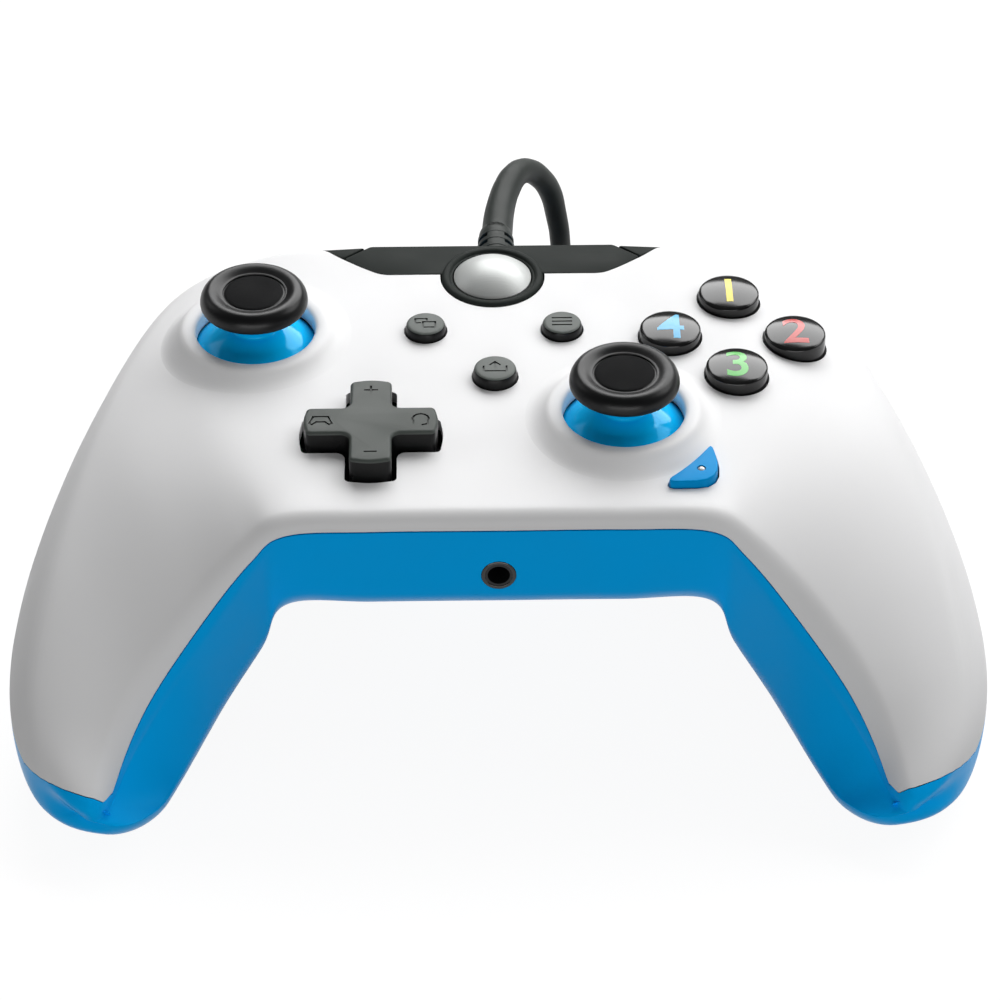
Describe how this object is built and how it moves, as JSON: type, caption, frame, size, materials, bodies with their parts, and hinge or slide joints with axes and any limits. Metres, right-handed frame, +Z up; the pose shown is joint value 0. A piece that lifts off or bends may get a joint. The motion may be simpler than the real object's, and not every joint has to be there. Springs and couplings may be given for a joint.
{
  "type": "gamepad controller",
  "caption": "Wired two-grip game controller with tilting thumbsticks, rocking cross pad, push buttons, bumpers, pivoting triggers, rumble motors and a tied hank of cable with its plug.",
  "frame": {"origin": "centre of the body's footprint, on the surface it rests on", "axes": "+Z up out of the button face, +X to the player's right, +Y away from the player towards the cable"},
  "size_m": [0.16, 0.1539, 0.058],
  "materials": {
    "white_shell": "satin",
    "blue_plastic": "satin",
    "dark_plastic": "satin",
    "black_gloss": "gloss",
    "black_matte": "matte",
    "guide_metal": "brushed",
    "steel": "plain",
    "board": "satin",
    "grey_plastic": "matte",
    "pad_rubber": "matte",
    "cap_rubber": "satin",
    "cable_rubber": "satin"
  },
  "bodies": {
    "shell": {"front_shell": "white_shell", "rear_shell": "blue_plastic", "bridge": "dark_plastic", "guide_switch": "black_matte", "bumper_switches": "black_matte", "left_trigger_pin": "steel", "right_trigger_pin": "steel", "left_trigger_spring": "steel", "right_trigger_spring": "steel", "left_trigger_bracket": "grey_plastic", "right_trigger_bracket": "grey_plastic", "left_stick_housing": "steel", "right_stick_housing": "steel", "main_board": "board", "face_button_pad": "pad_rubber", "dpad_pad": "pad_rubber", "menu_pad": "pad_rubber", "left_motor": "steel", "right_motor": "steel", "audio_jack": "black_matte", "case_screws": "steel", "board_screws": "steel", "cable_gland": "cable_rubber", "cable_run": "cable_rubber", "cable_hank": "cable_rubber", "cable_tie": "black_matte", "usb_plug": "cable_rubber", "usb_shell": "steel"},
    "left_stick_gimbal": {"left_stick_arch": "grey_plastic"},
    "left_stick_lever": {"left_stick_rocker": "steel"},
    "left_stick": {"left_stick_stem": "blue_plastic", "left_stick_cap": "cap_rubber"},
    "right_stick_gimbal": {"right_stick_arch": "grey_plastic"},
    "right_stick_lever": {"right_stick_rocker": "steel"},
    "right_stick": {"right_stick_stem": "blue_plastic", "right_stick_cap": "cap_rubber"},
    "dpad_gimbal": {"dpad_pivot": "grey_plastic"},
    "cross_pad": {"dpad": "dark_plastic"},
    "button_north_body": {"button_north": "black_gloss"},
    "button_east_body": {"button_east": "black_gloss"},
    "button_south_body": {"button_south": "black_gloss"},
    "button_west_body": {"button_west": "black_gloss"},
    "view_body": {"view_button": "dark_plastic"},
    "menu_body": {"menu_button": "dark_plastic"},
    "share_body": {"share_button": "dark_plastic"},
    "guide_body": {"guide_button": "guide_metal"},
    "function_body": {"function_button": "blue_plastic", "function_led": "guide_metal"},
    "left_bumper_body": {"left_bumper": "dark_plastic"},
    "left_trigger_body": {"left_trigger": "dark_plastic"},
    "left_rumble_body": {"left_motor_weight": "steel"},
    "right_bumper_body": {"right_bumper": "dark_plastic"},
    "right_trigger_body": {"right_trigger": "dark_plastic"},
    "right_rumble_body": {"right_motor_weight": "steel"}
  },
  "joints": [
    {"name": "left_stick_pitch", "type": "hinge", "parent": "shell", "child": "left_stick_gimbal", "pos_m": [-0.04, 0.0235, 0.0362], "axis": [1, 0, 0], "range_deg": [-15, 15], "stiffness_Nm_per_rad": 0.03},
    {"name": "left_stick_roll", "type": "hinge", "parent": "left_stick_gimbal", "child": "left_stick_lever", "pos_m": [-0.04, 0.0235, 0.0362], "axis": [0, 1, 0], "range_deg": [-15, 15], "stiffness_Nm_per_rad": 0.03},
    {"name": "left_stick_click", "type": "slide", "parent": "left_stick_lever", "child": "left_stick", "axis": [0, 0, -1], "range_m": [0, 0.0004], "stiffness_N_per_m": 2000},
    {"name": "right_stick_pitch", "type": "hinge", "parent": "shell", "child": "right_stick_gimbal", "pos_m": [0.0208, 0, 0.0362], "axis": [1, 0, 0], "range_deg": [-15, 15], "stiffness_Nm_per_rad": 0.03},
    {"name": "right_stick_roll", "type": "hinge", "parent": "right_stick_gimbal", "child": "right_stick_lever", "pos_m": [0.0208, 0, 0.0362], "axis": [0, 1, 0], "range_deg": [-15, 15], "stiffness_Nm_per_rad": 0.03},
    {"name": "right_stick_click", "type": "slide", "parent": "right_stick_lever", "child": "right_stick", "axis": [0, 0, -1], "range_m": [0, 0.0004], "stiffness_N_per_m": 2000},
    {"name": "dpad_rock_ns", "type": "hinge", "parent": "shell", "child": "dpad_gimbal", "pos_m": [-0.0204, -0.0041, 0.042], "axis": [1, 0, 0], "range_deg": [-4, 4], "stiffness_Nm_per_rad": 0.1},
    {"name": "dpad_rock_ew", "type": "hinge", "parent": "dpad_gimbal", "child": "cross_pad", "pos_m": [-0.0204, -0.0041, 0.042], "axis": [0, 1, 0], "range_deg": [-4, 4], "stiffness_Nm_per_rad": 0.1},
    {"name": "button_north_press", "type": "slide", "parent": "shell", "child": "button_north_body", "axis": [0, 0, -1], "range_m": [0, 0.0016], "stiffness_N_per_m": 400},
    {"name": "button_east_press", "type": "slide", "parent": "shell", "child": "button_east_body", "axis": [0, 0, -1], "range_m": [0, 0.0016], "stiffness_N_per_m": 400},
    {"name": "button_south_press", "type": "slide", "parent": "shell", "child": "button_south_body", "axis": [0, 0, -1], "range_m": [0, 0.0016], "stiffness_N_per_m": 400},
    {"name": "button_west_press", "type": "slide", "parent": "shell", "child": "button_west_body", "axis": [0, 0, -1], "range_m": [0, 0.0016], "stiffness_N_per_m": 400},
    {"name": "view_press", "type": "slide", "parent": "shell", "child": "view_body", "axis": [0, 0, -1], "range_m": [0, 0.0007], "stiffness_N_per_m": 400},
    {"name": "menu_press", "type": "slide", "parent": "shell", "child": "menu_body", "axis": [0, 0, -1], "range_m": [0, 0.0007], "stiffness_N_per_m": 400},
    {"name": "share_press", "type": "slide", "parent": "shell", "child": "share_body", "axis": [0, 0, -1], "range_m": [0, 0.0007], "stiffness_N_per_m": 400},
    {"name": "guide_press", "type": "slide", "parent": "shell", "child": "guide_body", "axis": [0, 0, -1], "range_m": [0, 0.0005], "stiffness_N_per_m": 400},
    {"name": "function_press", "type": "slide", "parent": "shell", "child": "function_body", "axis": [0, 0, -1], "range_m": [0, 0.0007], "stiffness_N_per_m": 400},
    {"name": "left_bumper_press", "type": "hinge", "parent": "shell", "child": "left_bumper_body", "pos_m": [-0.024, 0.0452, 0.04], "axis": [0, 0, 1], "range_deg": [0, 2.5], "stiffness_Nm_per_rad": 0.6},
    {"name": "left_trigger_pull", "type": "hinge", "parent": "shell", "child": "left_trigger_body", "pos_m": [-0.0365, 0.0395, 0.0312], "axis": [-1, 0, 0], "range_deg": [0, 18], "stiffness_Nm_per_rad": 0.2},
    {"name": "left_rumble_spin", "type": "hinge", "parent": "shell", "child": "left_rumble_body", "pos_m": [-0.056, -0.01, 0.02], "axis": [0, 1, 0], "continuous": true},
    {"name": "right_bumper_press", "type": "hinge", "parent": "shell", "child": "right_bumper_body", "pos_m": [0.024, 0.0452, 0.04], "axis": [0, 0, -1], "range_deg": [0, 2.5], "stiffness_Nm_per_rad": 0.6},
    {"name": "right_trigger_pull", "type": "hinge", "parent": "shell", "child": "right_trigger_body", "pos_m": [0.0365, 0.0395, 0.0312], "axis": [-1, 0, 0], "range_deg": [0, 18], "stiffness_Nm_per_rad": 0.2},
    {"name": "right_rumble_spin", "type": "hinge", "parent": "shell", "child": "right_rumble_body", "pos_m": [0.056, -0.01, 0.02], "axis": [0, 1, 0], "continuous": true}
  ]
}
